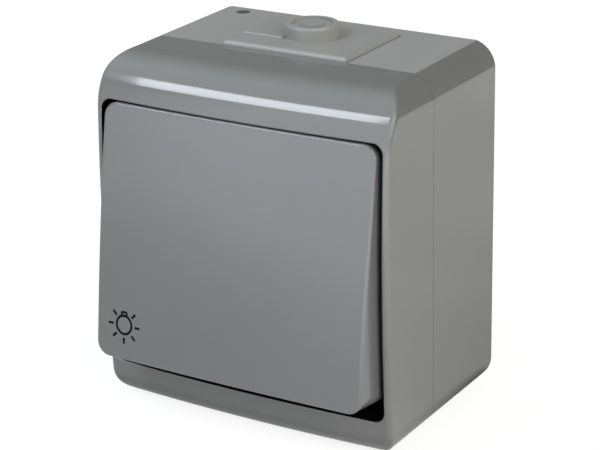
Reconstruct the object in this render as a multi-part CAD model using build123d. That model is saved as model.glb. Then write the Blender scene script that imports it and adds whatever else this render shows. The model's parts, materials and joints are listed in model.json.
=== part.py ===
from build123d import *
from math import asin, cos, degrees, radians, sin, sqrt
import os

# Surface-mounted splash-proof pushbutton switch, in millimetres: X to the right, Y into the wall, Z up.
# The origin is the centre of the back face. A "depth" is a distance from the wall towards the user, along -Y,
# and a "height" is a distance along Z from the middle of the case.

# Case
body_width = 66.0
body_height = 73.0
corner_radius = 5.5
flat_cut = 0.12  # how far the top and bottom flats cut into the rounded corners
base_depth = 26.0  # wall to the seam
base_wall = 2.6
back_wall = 2.5
seam_groove = 0.1

# Lip, skirt and gasket at the seam
skirt_wall = 1.4
lip_height = 2.0
lip_clearance = 0.15
gasket_thickness = 1.2

# Front frame
frame_depth = 19.4  # seam to the crown of the dome
dome_radius = 450.0
top_brow_radius = 11.2  # round over the top of the frame
top_brow_height = 8.7  # rim above the opening
bottom_brow_radius = 6.0
bottom_brow_height = 8.2
rim_radius = 1.1
opening_radius = 2.2
opening_round = 0.3
floor_thickness = 1.8
brow_pocket_wall = 1.6  # wall between the key's opening and the hollow brow
brow_outer_wall = 3.1
brow_hollow_depth = 9.0
brow_hollow_inset = 6.0  # hollow brow's end to the case's side

# Key
key_side_gap = 1.0
key_top_gap = 1.3
key_bottom_gap = 2.75
key_corner_radius = 3.0
key_crown_radius = 700.0
key_proud = 0.4  # crown of the pressed-flat key over the crown of the frame
key_edge_radius = 0.6
key_wall = 1.6
key_front_wall = 2.0
key_floor_gap = 1.0  # skirt to the frame's floor with the key flat
key_tilt = 8.0  # degrees that the key leans out at rest
key_travel = 6.0  # degrees that the key can be pressed
key_rib_thickness = 1.4
key_rib_depth = 2.6
key_rib_spacing = 24.0

# Key hinge
pivot_drop = 7.8  # top of the opening to the hinge axis
pivot_rise = 5.5  # frame floor to the hinge axis
pin_radius = 1.5
pin_clearance = 0.05
ear_radius = 2.8
ear_thickness = 2.0
ear_inset = 4.6  # side of the opening to the ear
hinge_rib_thickness = 2.0
hinge_rib_gap = 0.4
stem_radius = 3.0
stem_clearance = 0.1

# Membrane
window_radius = 11.0
membrane_lip = 1.6  # how far each lip reaches past the window
membrane_lip_thickness = 1.0
membrane_web = 1.0
membrane_button_radius = 4.5
membrane_button_front = 4.0  # button over the frame's floor
membrane_button_back = 1.7  # button behind the frame's floor
membrane_web_rise = 4.0
membrane_fit = 0.05
membrane_edge_radius = 0.6

# Screws
frame_screw_height = 11.0
frame_screw_inset = 4.9  # inside of the wall to the screw axis
pillar_radius = 3.5
pillar_rib = 1.6
screw_radius = 1.45
screw_head_radius = 2.8
screw_head_height = 2.2
screw_slot_width = 0.8
screw_slot_depth = 1.0
screw_hole_clearance = 0.25
thread_clearance = 0.05
frame_screw_length = 10.0
pilot_floor = 1.2  # material left under the pilot holes
pilot_rest = 1.3  # hole left under the ends of the mechanism's screws

# Wall fixing and drain
fixing_inset = 9.0  # top or bottom of the case to the fixing hole
fixing_radius = 2.25
fixing_collar_radius = 4.4
fixing_collar_height = 1.5
drain_radius = 1.5
drain_back = 3.0
drain_side = 9.0
drain_recess = 1.4

# Cable entry insert
entry_width = 28.0
entry_gap = 0.3
entry_back = 4.6
entry_rise = 1.0
entry_plate = 1.3
entry_inner_plate = 1.2
entry_edge_radius = 0.9
tongue_reach = 1.3
tongue_thickness = 0.8
tongue_clearance = 0.1
boss_depth = 15.0
boss_radius = 5.4
boss_height = 2.7
boss_wall = 1.3
boss_rim = 1.2
boss_recess = 0.5
boss_step_radius = 2.4
boss_step = 0.3
boss_skin = 0.8
tab_length = 9.2
tab_width = 2.7
tab_rise = 0.4
tab_depth = 17.5
tab_inset = 0.9

# Mechanism housing
housing_half_width = 13.0
housing_half_height = 12.0
housing_height = 17.8
housing_wall = 1.6
housing_floor = 2.0
shelf_inner = 5.2
shelf_half_width = 3.6
wing_reach = 11.0
wing_half_height = 7.0
wing_height = 10.0
wing_wall = 1.4
wire_notch = 4.0
lug_reach = 8.0
lug_half_width = 4.5
lug_thickness = 2.5
spring_boss_radius = 1.6
spring_boss_height = 2.0
housing_edge_radius = 0.8

# Mechanism cover
cover_thickness = 1.8
cover_rim = 1.0
cover_rim_depth = 1.2
cover_fit = 0.1
guide_radius = 5.0
guide_height = 0.9
guide_gap = 1.0  # room between the guide and the membrane's button
clip_half_width = 3.0
clip_thickness = 1.2
clip_length = 6.8
clip_hook = 0.7
clip_hook_height = 1.6
clip_clearance = 0.15

# Plunger
plunger_tip_radius = 3.2
plunger_fit = 0.08
plunger_tip_clearance = 0.1
flange_radius = 5.2
flange_thickness = 1.4
flange_clearance = 0.1
plunger_stem_radius = 2.0
stem_tail = 0.5
guide_pin_radius = 1.4
guide_pin_length = 2.5
plunger_edge_radius = 0.5

# Contacts
strip_seat = 4.0  # housing floor to the fixed strips
strip_thickness = 0.8
strip_half_width = 2.6
strip_inner = 5.6
strip_into_block = 1.9
strip_clearance = 0.1
contact_x = 7.8
contact_radius = 1.7
contact_height = 1.0
contact_crown = 0.3
rivet_radius = 0.9
rivet_fit = 0.02
contact_margin = 0.1  # gap left between the contacts at full press
bridge_thickness = 0.8
bridge_half_width = 2.6
bridge_reach = 10.0
bridge_fit = 0.05
clip_washer_radius = 3.4
clip_washer_thickness = 0.8

# Springs
wire_radius = 0.3
spring_seat_gap = 0.05
return_spring_radius = 2.6
return_spring_turns = 5
contact_spring_radius = 3.2
contact_spring_turns = 3

# Terminals
block_clearance = 0.2
block_height = 7.0
wire_bore_radius = 1.6
wire_bore_height = 2.6
terminal_thread_radius = 1.75
terminal_screw_gap = 0.6
terminal_screw_length = 3.4

# Depths and heights that follow from the sizes above
half_width = body_width / 2
half_height = body_height / 2
crown_depth = base_depth + frame_depth
lip_front = base_depth + lip_height
floor_back = lip_front + gasket_thickness
floor_front = floor_back + floor_thickness
opening_half_width = half_width - skirt_wall
opening_top = half_height - top_brow_height
opening_bottom = bottom_brow_height - half_height
opening_middle = (opening_top + opening_bottom) / 2
pivot_height = opening_top - pivot_drop
pivot_depth = floor_front + pivot_rise
fixing_height = half_height - fixing_inset
frame_screw_x = half_width - base_wall - frame_screw_inset
membrane_front = floor_front + membrane_button_front
membrane_back = floor_back - membrane_button_back
housing_front = membrane_back - guide_gap - guide_height - cover_thickness
mechanism_seat = housing_front - housing_height
housing_floor_top = mechanism_seat + housing_floor
lug_height = housing_half_height + lug_reach - lug_half_width
lug_front = mechanism_seat + lug_thickness
mechanism_screw_length = lug_front - pilot_floor - pilot_rest
strip_back = housing_floor_top + strip_seat
strip_front = strip_back + strip_thickness
fixed_contact_front = strip_front + contact_height
plunger_stroke = pivot_height * radians(key_travel)
bridge_back = fixed_contact_front + plunger_stroke + contact_margin + contact_height
bridge_front = bridge_back + bridge_thickness
flange_front = housing_front - flange_clearance
flange_back = flange_front - flange_thickness
clip_washer_back = bridge_back - clip_washer_thickness
block_x = housing_half_width + (wing_reach - wing_wall) / 2
block_half_width = (wing_reach - wing_wall) / 2 - block_clearance
block_half_height = wing_half_height - wing_wall - block_clearance
block_front = housing_floor_top + block_height
entry_half = entry_width / 2
entry_top = half_height + entry_rise
SIDES = (-1, 1)
FRAME_SCREWS = ((-frame_screw_x, frame_screw_height), (frame_screw_x, -frame_screw_height))


# Shared forms

def prism(sketch, start, end):
    """Front-view sketch (X, height) extruded from one depth to another."""
    return extrude(Plane.XZ.offset(start) * sketch, amount=end - start)


def side_plate(sketch, start, end):
    """Side-view sketch (Y, Z) extruded along X between two places."""
    return extrude(Plane.YZ.offset(start) * sketch, amount=end - start)


def rod(radius, start, end, x=0.0, height=0.0):
    """Round bar square to the wall."""
    return prism(Pos(x, height) * Circle(radius), start, end)


def block(x_range, depth_range, height_range):
    """Rectangular block between two places in X, in depth and in height."""
    size = [b - a for a, b in (x_range, depth_range, height_range)]
    middle = [(a + b) / 2 for a, b in (x_range, depth_range, height_range)]
    return Pos(middle[0], -middle[1], middle[2]) * Box(*size)


def turned(points):
    """Solid of revolution about the Y axis from (radius, depth) points."""
    outline = Polyline([(radius, -depth) for radius, depth in points], close=True)
    return revolve(make_face(outline), Axis.Y)


def coil(radius, turns, start, end):
    """Round-wire coil spring about the Y axis, between two seats."""
    inset = wire_radius + spring_seat_gap
    length = end - start - 2 * inset
    path = Helix(length / turns, length, radius, center=(0, -start - inset, 0), direction=(0, -1, 0))
    section = Plane(origin=path @ 0, z_dir=path % 0) * Circle(wire_radius)
    return sweep(section, path)


def screw(x, height, seat, length, shank_radius):
    """Pan-head screw with a cross recess, its head seated at a depth."""
    top = seat + screw_head_height
    head = rod(screw_head_radius, seat, top, x, height)
    head = fillet(head.edges().sort_by(Axis.Y)[0], screw_head_height * 0.45)
    shank = rod(shank_radius, seat - length, seat, x, height)
    shank = chamfer(shank.edges().sort_by(Axis.Y)[-1], shank_radius * 0.5)
    long_side = 1.3 * screw_head_radius
    cross = Rectangle(long_side, screw_slot_width) + Rectangle(screw_slot_width, long_side)
    return head + shank - prism(Pos(x, height) * cross, top - screw_slot_depth, top)


def outline(inset=0.0):
    """Front outline of the case, moved inwards: rounded corners cut by the top and bottom flats."""
    width = body_width - 2 * inset
    height = body_height - 2 * inset
    rounded = RectangleRounded(width, height + 2 * flat_cut, corner_radius - inset)
    return rounded & Rectangle(width, height)


# Case

def base_box():
    """Back box: open tray with a lip at the seam, pillars, fixing holes and the notch for the cable entry."""
    box = prism(outline(), 0, base_depth - seam_groove) + prism(outline(seam_groove), back_wall, base_depth)
    box += prism(outline(skirt_wall + lip_clearance), back_wall, lip_front)
    box -= prism(outline(base_wall), back_wall, lip_front)
    for x, height in FRAME_SCREWS:
        side = 1 if x > 0 else -1
        rib_end = side * (half_width - base_wall / 2)
        rib = Pos((x + rib_end) / 2, height) * Rectangle(abs(rib_end - x), pillar_rib)
        box += prism(rib, back_wall, base_depth)
        box += rod(pillar_radius, back_wall, floor_back, x, height)
        box -= rod(screw_radius + thread_clearance, pilot_floor, floor_back, x, height)
    for side in SIDES:
        box += rod(pillar_radius, back_wall, mechanism_seat, 0, side * lug_height)
        box -= rod(screw_radius + thread_clearance, pilot_floor, mechanism_seat, 0, side * lug_height)
        collar_front = back_wall + fixing_collar_height
        box += rod(fixing_collar_radius, back_wall, collar_front, 0, side * fixing_height)
        box -= rod(fixing_radius, 0, collar_front, 0, side * fixing_height)
    notch_half = entry_half + entry_gap
    notch = block((-notch_half, notch_half), (entry_back - entry_gap, lip_front),
                  (half_height - base_wall, half_height))
    tongue_middle = half_height - base_wall / 2
    tongue_heights = (tongue_middle - tongue_thickness / 2, tongue_middle + tongue_thickness / 2)
    for side in SIDES:
        reach = sorted((side * (notch_half - tongue_reach), side * notch_half))
        notch -= block(reach, (entry_back - entry_gap, base_depth - seam_groove), tongue_heights)
    drain = Pos(drain_side - half_width, -drain_back, half_height - drain_recess / 2)
    return box - notch - drain * Cylinder(drain_radius, drain_recess)


def cable_entry():
    """Slide-in entry: outer and inner plates on a neck, with a pierceable round boss and a grip tab."""
    tongue_middle = half_height - base_wall / 2
    neck_low = tongue_middle - tongue_thickness / 2 - tongue_clearance
    neck_high = tongue_middle + tongue_thickness / 2 + tongue_clearance
    neck_half = entry_half + entry_gap - tongue_reach - tongue_clearance
    plate = block((-entry_half, entry_half), (entry_back, base_depth), (neck_high, entry_top))
    plate = fillet(plate.edges().group_by(Axis.Z)[-1], entry_edge_radius)
    neck = block((-neck_half, neck_half), (entry_back, base_depth), (neck_low, neck_high))
    inner_low = neck_low - entry_inner_plate
    inner = block((-entry_half, entry_half), (entry_back, lip_front), (inner_low, neck_low))
    tab_x = (tab_inset - entry_half, tab_inset - entry_half + tab_length)
    tab = block(tab_x, (tab_depth, tab_depth + tab_width), (entry_top - tab_rise, entry_top + tab_rise))
    tab = chamfer(tab.edges().group_by(Axis.Z)[-1], tab_rise * 0.6)
    boss_top = entry_top + boss_height
    centre = Pos(0, -boss_depth, 0)
    upright = (Align.CENTER, Align.CENTER, Align.MIN)
    boss_foot = entry_top - entry_plate / 2
    boss = Pos(0, 0, boss_foot) * Cylinder(boss_radius, boss_top - boss_foot, align=upright)
    boss = fillet(boss.edges().sort_by(Axis.Z)[-1], boss_rim * 0.4)
    ring_radius = boss_radius - boss_rim
    boss -= Pos(0, 0, boss_top - boss_recess) * Cylinder(ring_radius, boss_recess, align=upright)
    boss += Pos(0, 0, boss_top - boss_recess) * Cylinder(boss_step_radius, boss_step, align=upright)
    bore_height = boss_top - boss_recess - boss_skin - inner_low
    bore = Pos(0, 0, inner_low) * Cylinder(boss_radius - boss_wall, bore_height, align=upright)
    return plate + neck + inner + tab + centre * boss - centre * bore


def frame_gasket():
    """Rubber ring between the box's lip and the frame."""
    ring = outline(skirt_wall + lip_clearance) - outline(base_wall)
    return prism(ring, lip_front, floor_back)


def frame_profile():
    """Side outline of the frame: domed face rolling over into the top and bottom flats."""
    edge_depth = crown_depth - dome_radius + sqrt(dome_radius**2 - half_height**2)
    run_out = base_depth - skirt_wall
    sides = Polyline((-edge_depth, half_height), (-run_out, half_height), (-run_out, -half_height),
                     (-edge_depth, -half_height))
    dome = ThreePointArc((-edge_depth, -half_height), (-crown_depth, 0), (-edge_depth, half_height))
    face = make_face(sides + dome)
    bottom_corner, top_corner = face.vertices().group_by(Axis.X)[0].sort_by(Axis.Y)
    face = fillet(bottom_corner, bottom_brow_radius)
    return fillet(face.vertices().sort_by_distance(top_corner)[0], top_brow_radius)


def frame_shell():
    """Outer form of the frame: its side outline swung about a far upright axis, so the face is domed."""
    swing = Axis((0, dome_radius - crown_depth, 0), (0, 0, 1))
    half_angle = degrees(asin(body_width * 0.55 / (dome_radius - crown_depth)))
    shell = revolve(Plane.YZ * frame_profile(), swing, revolution_arc=2 * half_angle)
    shell = shell.rotate(swing, -half_angle) & prism(outline(), base_depth, crown_depth)
    flat_end = half_width - corner_radius

    def is_rim(edge):
        middle = edge @ 0.5
        on_seam = abs(middle.Y + base_depth) < 0.01
        along_side = abs(abs(middle.X) - half_width) < 0.01 and abs((edge % 0.5).Y) > 0.99
        return abs(middle.X) > flat_end and not on_seam and not along_side

    return fillet(shell.edges().filter_by(is_rim), rim_radius)


def hinge_ear(side):
    """Upright ear on the frame's floor with the hole for the key's pin."""
    web = Pos(-(floor_front + pivot_depth) / 2, pivot_height) * Rectangle(pivot_rise, 2 * ear_radius)
    sketch = web + Pos(-pivot_depth, pivot_height) * Circle(ear_radius)
    sketch -= Pos(-pivot_depth, pivot_height) * Circle(pin_radius + pin_clearance)
    outer = opening_half_width - ear_inset
    return side_plate(sketch, *sorted((side * outer, side * (outer - ear_thickness))))


def front_frame():
    """Front cover: domed rim round the key, floor with the membrane's window, hollow brows and hinge ears."""
    frame = frame_shell()
    opening = RectangleRounded(2 * opening_half_width, opening_top - opening_bottom, opening_radius)
    frame -= prism(Pos(0, opening_middle) * opening, floor_front, crown_depth)
    mouth = frame.edges().filter_by(
        lambda edge: abs((edge @ 0.5).X) < opening_half_width + 0.01
        and opening_bottom - 0.01 < (edge @ 0.5).Z < opening_top + 0.01
        and (edge @ 0.5).Y < -floor_front - frame_depth / 2)
    frame = fillet(mouth, opening_round)
    frame -= prism(outline(skirt_wall), base_depth, floor_back)
    hollow_half = half_width - brow_hollow_inset
    hollow_depths = (floor_back, floor_back + brow_hollow_depth)
    brow_end = half_height - brow_outer_wall
    frame -= block((-hollow_half, hollow_half), hollow_depths, (opening_top + brow_pocket_wall, brow_end))
    frame -= block((-hollow_half, hollow_half), hollow_depths, (-brow_end, opening_bottom - brow_pocket_wall))
    frame += hinge_ear(-1) + hinge_ear(1)
    frame -= rod(window_radius, floor_back, floor_front)
    for x, height in FRAME_SCREWS:
        frame -= rod(screw_radius + screw_hole_clearance, floor_back, floor_front, x, height)
    return frame


# Key

def flat_place(depth, height):
    """Where a point of the key at rest lies while the key is square to the wall."""
    lean = radians(key_tilt)
    outward = depth - pivot_depth
    upward = height - pivot_height
    return (pivot_depth + outward * cos(lean) + upward * sin(lean),
            pivot_height + upward * cos(lean) - outward * sin(lean))


def hinge_rib(side, front):
    """Rib behind the key's face with the pin that turns in the frame's ear."""
    web = Pos(-(pivot_depth + front) / 2, pivot_height) * Rectangle(front - pivot_depth, 2 * ear_radius)
    sketch = web + Pos(-pivot_depth, pivot_height) * Circle(ear_radius)
    ear_inner = opening_half_width - ear_inset - ear_thickness
    rib_outer = ear_inner - hinge_rib_gap
    rib = side_plate(sketch, *sorted((side * rib_outer, side * (rib_outer - hinge_rib_thickness))))
    pin = Pos(-pivot_depth, pivot_height) * Circle(pin_radius)
    return rib + side_plate(pin, *sorted((side * rib_outer, side * (ear_inner + ear_thickness))))


def key():
    """Push key: crowned shell, modelled square to the wall and then leaned out about its hinge."""
    width = 2 * (opening_half_width - key_side_gap)
    top = opening_top - key_top_gap
    bottom = opening_bottom + key_bottom_gap
    middle = (top + bottom) / 2
    back = floor_front + key_floor_gap
    front = crown_depth + key_proud
    crown_centre = Pos(0, key_crown_radius - front, middle)
    shell = prism(Pos(0, middle) * RectangleRounded(width, top - bottom, key_corner_radius), back, front)
    shell = shell & crown_centre * Sphere(key_crown_radius)
    shell = fillet(shell.faces().sort_by(Axis.Y)[0].edges(), key_edge_radius)
    hollow = RectangleRounded(width - 2 * key_wall, top - bottom - 2 * key_wall, key_corner_radius - key_wall)
    inside = prism(Pos(0, middle) * hollow, back, front)
    shell -= inside & crown_centre * Sphere(key_crown_radius - key_front_wall)
    rib_front = front - key_front_wall / 2
    ribs = Rectangle(width - key_wall, key_rib_thickness)
    for side in SIDES:
        ribs += Pos(side * key_rib_spacing / 2, 0) * Rectangle(key_rib_thickness, top - bottom - key_wall)
    ribs = prism(Pos(0, middle) * ribs, front - key_front_wall - key_rib_depth, rib_front)
    tip_depth, tip_height = flat_place(membrane_front + stem_clearance + stem_radius, 0)
    stem = rod(stem_radius, tip_depth, rib_front, 0, tip_height)
    stem += Pos(0, -tip_depth, tip_height) * Sphere(stem_radius)
    additions = ribs + stem + hinge_rib(-1, rib_front) + hinge_rib(1, rib_front)
    shell += additions & crown_centre * Sphere(key_crown_radius - key_front_wall / 2)
    return shell.rotate(Axis((0, -pivot_depth, pivot_height), (1, 0, 0)), -key_tilt)


def membrane():
    """Rubber diaphragm held by two lips in the frame's window, with a thick button in the middle."""
    waist = window_radius - membrane_fit
    lip = window_radius + membrane_lip
    lip_back = floor_back - membrane_lip_thickness
    web_root = waist - membrane_lip_thickness
    slant = membrane_web * sqrt(1 + (membrane_web_rise / (web_root - membrane_button_radius)) ** 2)
    disc = turned([
        (0, membrane_back), (membrane_button_radius, membrane_back),
        (membrane_button_radius, lip_back + membrane_web_rise), (web_root, lip_back), (lip, lip_back),
        (lip, floor_back), (waist, floor_back), (waist, floor_front), (lip, floor_front),
        (lip, floor_front + membrane_lip_thickness), (web_root, floor_front + membrane_lip_thickness),
        (web_root, lip_back + slant), (membrane_button_radius, lip_back + slant + membrane_web_rise),
        (membrane_button_radius, membrane_front), (0, membrane_front)])
    return fillet(disc.edges().group_by(Axis.Y)[0], membrane_edge_radius)


# Mechanism

def mechanism_body():
    """Contact housing with two terminal wings, contact shelves and fixing lugs."""
    body = prism(RectangleRounded(2 * housing_half_width, 2 * housing_half_height, housing_edge_radius),
                 mechanism_seat, housing_front)
    inner_half_width = housing_half_width - housing_wall
    inner_half_height = housing_half_height - housing_wall
    body -= prism(Rectangle(2 * inner_half_width, 2 * inner_half_height), housing_floor_top, housing_front)
    wing_front = mechanism_seat + wing_height
    wing_end = housing_half_width + wing_reach
    lug = SlotCenterToCenter(2 * lug_height, 2 * lug_half_width, rotation=90)
    body += prism(lug, mechanism_seat, housing_floor_top)
    body += prism(lug - Rectangle(4 * housing_half_width, 2 * inner_half_height), mechanism_seat, lug_front)
    for side in SIDES:
        wing_x = sorted((side * inner_half_width, side * wing_end))
        body += block(wing_x, (mechanism_seat, wing_front), (-wing_half_height, wing_half_height))
        pocket_half = wing_half_height - wing_wall
        body -= block(sorted((side * housing_half_width, side * (wing_end - wing_wall))),
                      (housing_floor_top, wing_front), (-pocket_half, pocket_half))
        notch_x = (side * block_x - wire_notch / 2, side * block_x + wire_notch / 2)
        body -= block(notch_x, (housing_floor_top, wing_front), (-wing_half_height, wing_half_height))
        body += block(sorted((side * shelf_inner, side * inner_half_width)), (housing_floor_top, strip_back),
                      (-shelf_half_width, shelf_half_width))
        slit = strip_half_width + strip_clearance
        body -= block(sorted((side * inner_half_width, side * housing_half_width)),
                      (strip_back, strip_front + strip_clearance), (-slit, slit))
        hook_front = housing_front + cover_thickness - clip_length + clip_hook_height + clip_clearance
        hook_back = housing_front + cover_thickness - clip_length - clip_clearance
        hook_half = clip_half_width + clip_clearance
        body -= block((-hook_half, hook_half), (hook_back, hook_front),
                      sorted((side * (housing_half_height - clip_hook), side * housing_half_height)))
        body -= rod(screw_radius + screw_hole_clearance, mechanism_seat, lug_front, 0, side * lug_height)
    return body + rod(spring_boss_radius, housing_floor_top, housing_floor_top + spring_boss_height)


def mechanism_cover():
    """Snap-on lid of the housing with the plunger's guide."""
    front = housing_front + cover_thickness
    cover = prism(RectangleRounded(2 * housing_half_width, 2 * housing_half_height, housing_edge_radius),
                  housing_front, front)
    rim_half_width = housing_half_width - housing_wall - cover_fit
    rim_half_height = housing_half_height - housing_wall - cover_fit
    rim = Rectangle(2 * rim_half_width, 2 * rim_half_height)
    rim -= Rectangle(2 * (rim_half_width - cover_rim), 2 * (rim_half_height - cover_rim))
    cover += prism(rim, housing_front - cover_rim_depth, housing_front)
    cover += rod(guide_radius, front, front + guide_height)
    for side in SIDES:
        leg_inner = housing_half_height + clip_clearance
        leg = (side * leg_inner, side * (leg_inner + clip_thickness))
        clip_x = (-clip_half_width, clip_half_width)
        cover += block(clip_x, (front - clip_length, front), sorted(leg))
        cover += block(clip_x, (housing_front, front), sorted((side * (housing_half_height - 1), leg[1])))
        hook = sorted((side * (leg_inner - clip_hook), leg[0]))
        cover += block(clip_x, (front - clip_length, front - clip_length + clip_hook_height), hook)
    return cover - rod(plunger_tip_radius + plunger_fit, housing_front, front + guide_height)


def plunger():
    """Stepped plunger: tip, flange, stem for the bridge and pin for the return spring."""
    tip_front = membrane_back - plunger_tip_clearance
    tail = clip_washer_back - stem_tail
    body = turned([
        (0, tip_front), (plunger_tip_radius, tip_front), (plunger_tip_radius, flange_front),
        (flange_radius, flange_front), (flange_radius, flange_back), (plunger_stem_radius, flange_back),
        (plunger_stem_radius, tail), (guide_pin_radius, tail), (guide_pin_radius, tail - guide_pin_length),
        (0, tail - guide_pin_length)])
    return fillet(body.edges().group_by(Axis.Y)[0], plunger_edge_radius)


def bridge_clip():
    """Push-on washer that keeps the bridge on the plunger."""
    ring = Circle(clip_washer_radius) - Circle(plunger_stem_radius + bridge_fit)
    return prism(ring, clip_washer_back, bridge_back)


def return_spring():
    """Coil spring between the housing's floor and the washer."""
    return coil(return_spring_radius, return_spring_turns, housing_floor_top, clip_washer_back)


def contact_spring():
    """Coil spring between the bridge and the plunger's flange."""
    return coil(contact_spring_radius, contact_spring_turns, bridge_front, flange_back)


def contact_bridge():
    """Moving copper strip across the two contacts."""
    strip = RectangleRounded(2 * bridge_reach, 2 * bridge_half_width, bridge_half_width * 0.6)
    strip -= Circle(plunger_stem_radius + bridge_fit)
    for side in SIDES:
        strip -= Pos(side * contact_x, 0) * Circle(rivet_radius + rivet_fit)
    return prism(strip, bridge_back, bridge_front)


def rivet(x, seat, shank_depth, facing):
    """Domed contact rivet on a strip's face, with its shank through the strip."""
    crown = seat + facing * contact_height
    head = prism(Pos(x, 0) * Circle(contact_radius), *sorted((seat, crown)))
    head = fillet(head.edges().sort_by(Axis.Y)[0 if facing > 0 else -1], contact_crown)
    return head + prism(Pos(x, 0) * Circle(rivet_radius), *sorted((seat, seat - facing * shank_depth)))


def bridge_contacts():
    """Silver rivets on the bridge, facing the wall."""
    return [rivet(side * contact_x, bridge_back, bridge_thickness, -1) for side in SIDES]


def fixed_contacts():
    """Silver rivets on the fixed strips, facing the bridge."""
    return [rivet(side * contact_x, strip_front, strip_thickness, 1) for side in SIDES]


def fixed_strip(side):
    """Fixed contact strip from the shelf through the housing's wall into its terminal."""
    outer = block_x - block_half_width + strip_into_block
    strip = block(sorted((side * strip_inner, side * outer)), (strip_back, strip_front),
                  (-strip_half_width, strip_half_width))
    return strip - rod(rivet_radius + rivet_fit, strip_back, strip_front, side * contact_x)


def terminal_block(side):
    """Brass terminal with a cross bore for the wire, a slit for the strip and a tapped hole for the screw."""
    x_range = (side * block_x - block_half_width, side * block_x + block_half_width)
    body = block(x_range, (housing_floor_top, block_front), (-block_half_height, block_half_height))
    body = chamfer(body.edges().filter_by(Axis.Y), housing_edge_radius)
    inner = block_x - block_half_width
    body -= block(sorted((side * inner, side * (inner + strip_into_block))), (strip_back, strip_front),
                  (-strip_half_width, strip_half_width))
    bore_depth = housing_floor_top + wire_bore_height
    body -= Pos(side * block_x, -bore_depth, 0) * Cylinder(wire_bore_radius, 2 * block_half_height)
    return body - rod(terminal_thread_radius, bore_depth, block_front, side * block_x)


def terminal_screws():
    """Clamp screws of the two terminals."""
    seat = block_front + terminal_screw_gap
    radius = terminal_thread_radius - thread_clearance
    return [screw(side * block_x, 0, seat, terminal_screw_length, radius) for side in SIDES]


def frame_screws():
    """Screws under the key that hold the frame to the box."""
    return [screw(x, height, floor_front, frame_screw_length, screw_radius) for x, height in FRAME_SCREWS]


def mechanism_screws():
    """Screws that hold the mechanism to the box."""
    return [screw(0, side * lug_height, lug_front, mechanism_screw_length, screw_radius) for side in SIDES]


NODES = {
    "base_box": base_box,
    "cable_entry": cable_entry,
    "frame_gasket": frame_gasket,
    "front_frame": front_frame,
    "frame_screws": frame_screws,
    "key": key,
    "membrane": membrane,
    "mechanism_body": mechanism_body,
    "mechanism_cover": mechanism_cover,
    "mechanism_screws": mechanism_screws,
    "plunger": plunger,
    "bridge_clip": bridge_clip,
    "return_spring": return_spring,
    "contact_spring": contact_spring,
    "contact_bridge": contact_bridge,
    "bridge_contacts": bridge_contacts,
    "fixed_contacts": fixed_contacts,
    "fixed_strip_left": lambda: fixed_strip(-1),
    "fixed_strip_right": lambda: fixed_strip(1),
    "terminal_block_left": lambda: terminal_block(-1),
    "terminal_block_right": lambda: terminal_block(1),
    "terminal_screws": terminal_screws,
}

os.makedirs("parts", exist_ok=True)
for name, make in NODES.items():
    made = make()
    shape = Compound(made) if isinstance(made, list) else made
    export_step(shape, f"parts/{name}.step")
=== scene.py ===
"""Looks of a surface-mounted splash-proof pushbutton switch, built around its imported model, in metres."""

import json
import logging
import math
from abc import ABC, abstractmethod
from dataclasses import dataclass
from enum import Enum
from typing import Any, ClassVar, Mapping, Optional, Sequence, Union

import bmesh
import bpy
from mathutils import Matrix, Vector
from mathutils.bvhtree import BVHTree

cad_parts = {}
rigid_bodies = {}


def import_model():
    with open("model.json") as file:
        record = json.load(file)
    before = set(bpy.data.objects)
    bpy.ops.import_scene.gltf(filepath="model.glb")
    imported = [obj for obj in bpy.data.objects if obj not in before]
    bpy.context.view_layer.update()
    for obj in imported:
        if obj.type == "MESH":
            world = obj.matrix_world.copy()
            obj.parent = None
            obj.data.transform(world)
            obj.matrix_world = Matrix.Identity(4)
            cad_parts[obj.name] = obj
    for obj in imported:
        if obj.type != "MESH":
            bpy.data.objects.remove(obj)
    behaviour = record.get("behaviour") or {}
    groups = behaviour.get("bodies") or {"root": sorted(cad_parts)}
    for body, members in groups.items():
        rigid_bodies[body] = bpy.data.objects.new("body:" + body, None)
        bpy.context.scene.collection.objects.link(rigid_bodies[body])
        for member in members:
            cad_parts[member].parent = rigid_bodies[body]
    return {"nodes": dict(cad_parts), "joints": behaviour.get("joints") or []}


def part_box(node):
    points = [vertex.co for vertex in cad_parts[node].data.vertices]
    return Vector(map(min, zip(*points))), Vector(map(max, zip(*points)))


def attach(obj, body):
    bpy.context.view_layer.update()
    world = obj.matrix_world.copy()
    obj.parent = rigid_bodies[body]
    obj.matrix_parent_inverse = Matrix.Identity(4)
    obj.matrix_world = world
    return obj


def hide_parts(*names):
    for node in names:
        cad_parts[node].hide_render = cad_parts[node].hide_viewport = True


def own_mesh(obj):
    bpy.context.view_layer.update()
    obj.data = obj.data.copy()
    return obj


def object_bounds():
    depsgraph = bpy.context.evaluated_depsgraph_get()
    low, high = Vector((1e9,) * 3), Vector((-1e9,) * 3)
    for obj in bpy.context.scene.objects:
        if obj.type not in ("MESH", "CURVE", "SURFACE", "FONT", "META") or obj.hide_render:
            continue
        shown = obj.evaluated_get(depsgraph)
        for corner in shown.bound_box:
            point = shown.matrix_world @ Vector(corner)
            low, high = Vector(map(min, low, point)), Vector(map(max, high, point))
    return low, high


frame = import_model()
cad_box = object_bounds()
FLOOR_LEVEL = cad_box[0].z

LOG = logging.getLogger("pushbutton_switch")
MM = 0.001
IMAGE_WIDTH = 600
SENSOR_WIDTH_MM = 36.0

Number = Union[int, float]
Band = tuple[float, float]
Triple = tuple[float, float, float]
Colour = Triple

EVEN: Triple = (1.0, 1.0, 1.0)
NOISE_MIDDLE = 0.5
WAVE_STEPS = 20.0
INTO_WALL: Triple = (-math.pi / 2, 0.0, 0.0)
SHARP_ANGLE = math.radians(35.0)


class Ray(Enum):
    """Kinds of ray for which a stage surface shows its plain white."""

    CAMERA = "Is Camera Ray"
    GLOSSY = "Is Glossy Ray"
    TRANSMISSION = "Is Transmission Ray"


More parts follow.
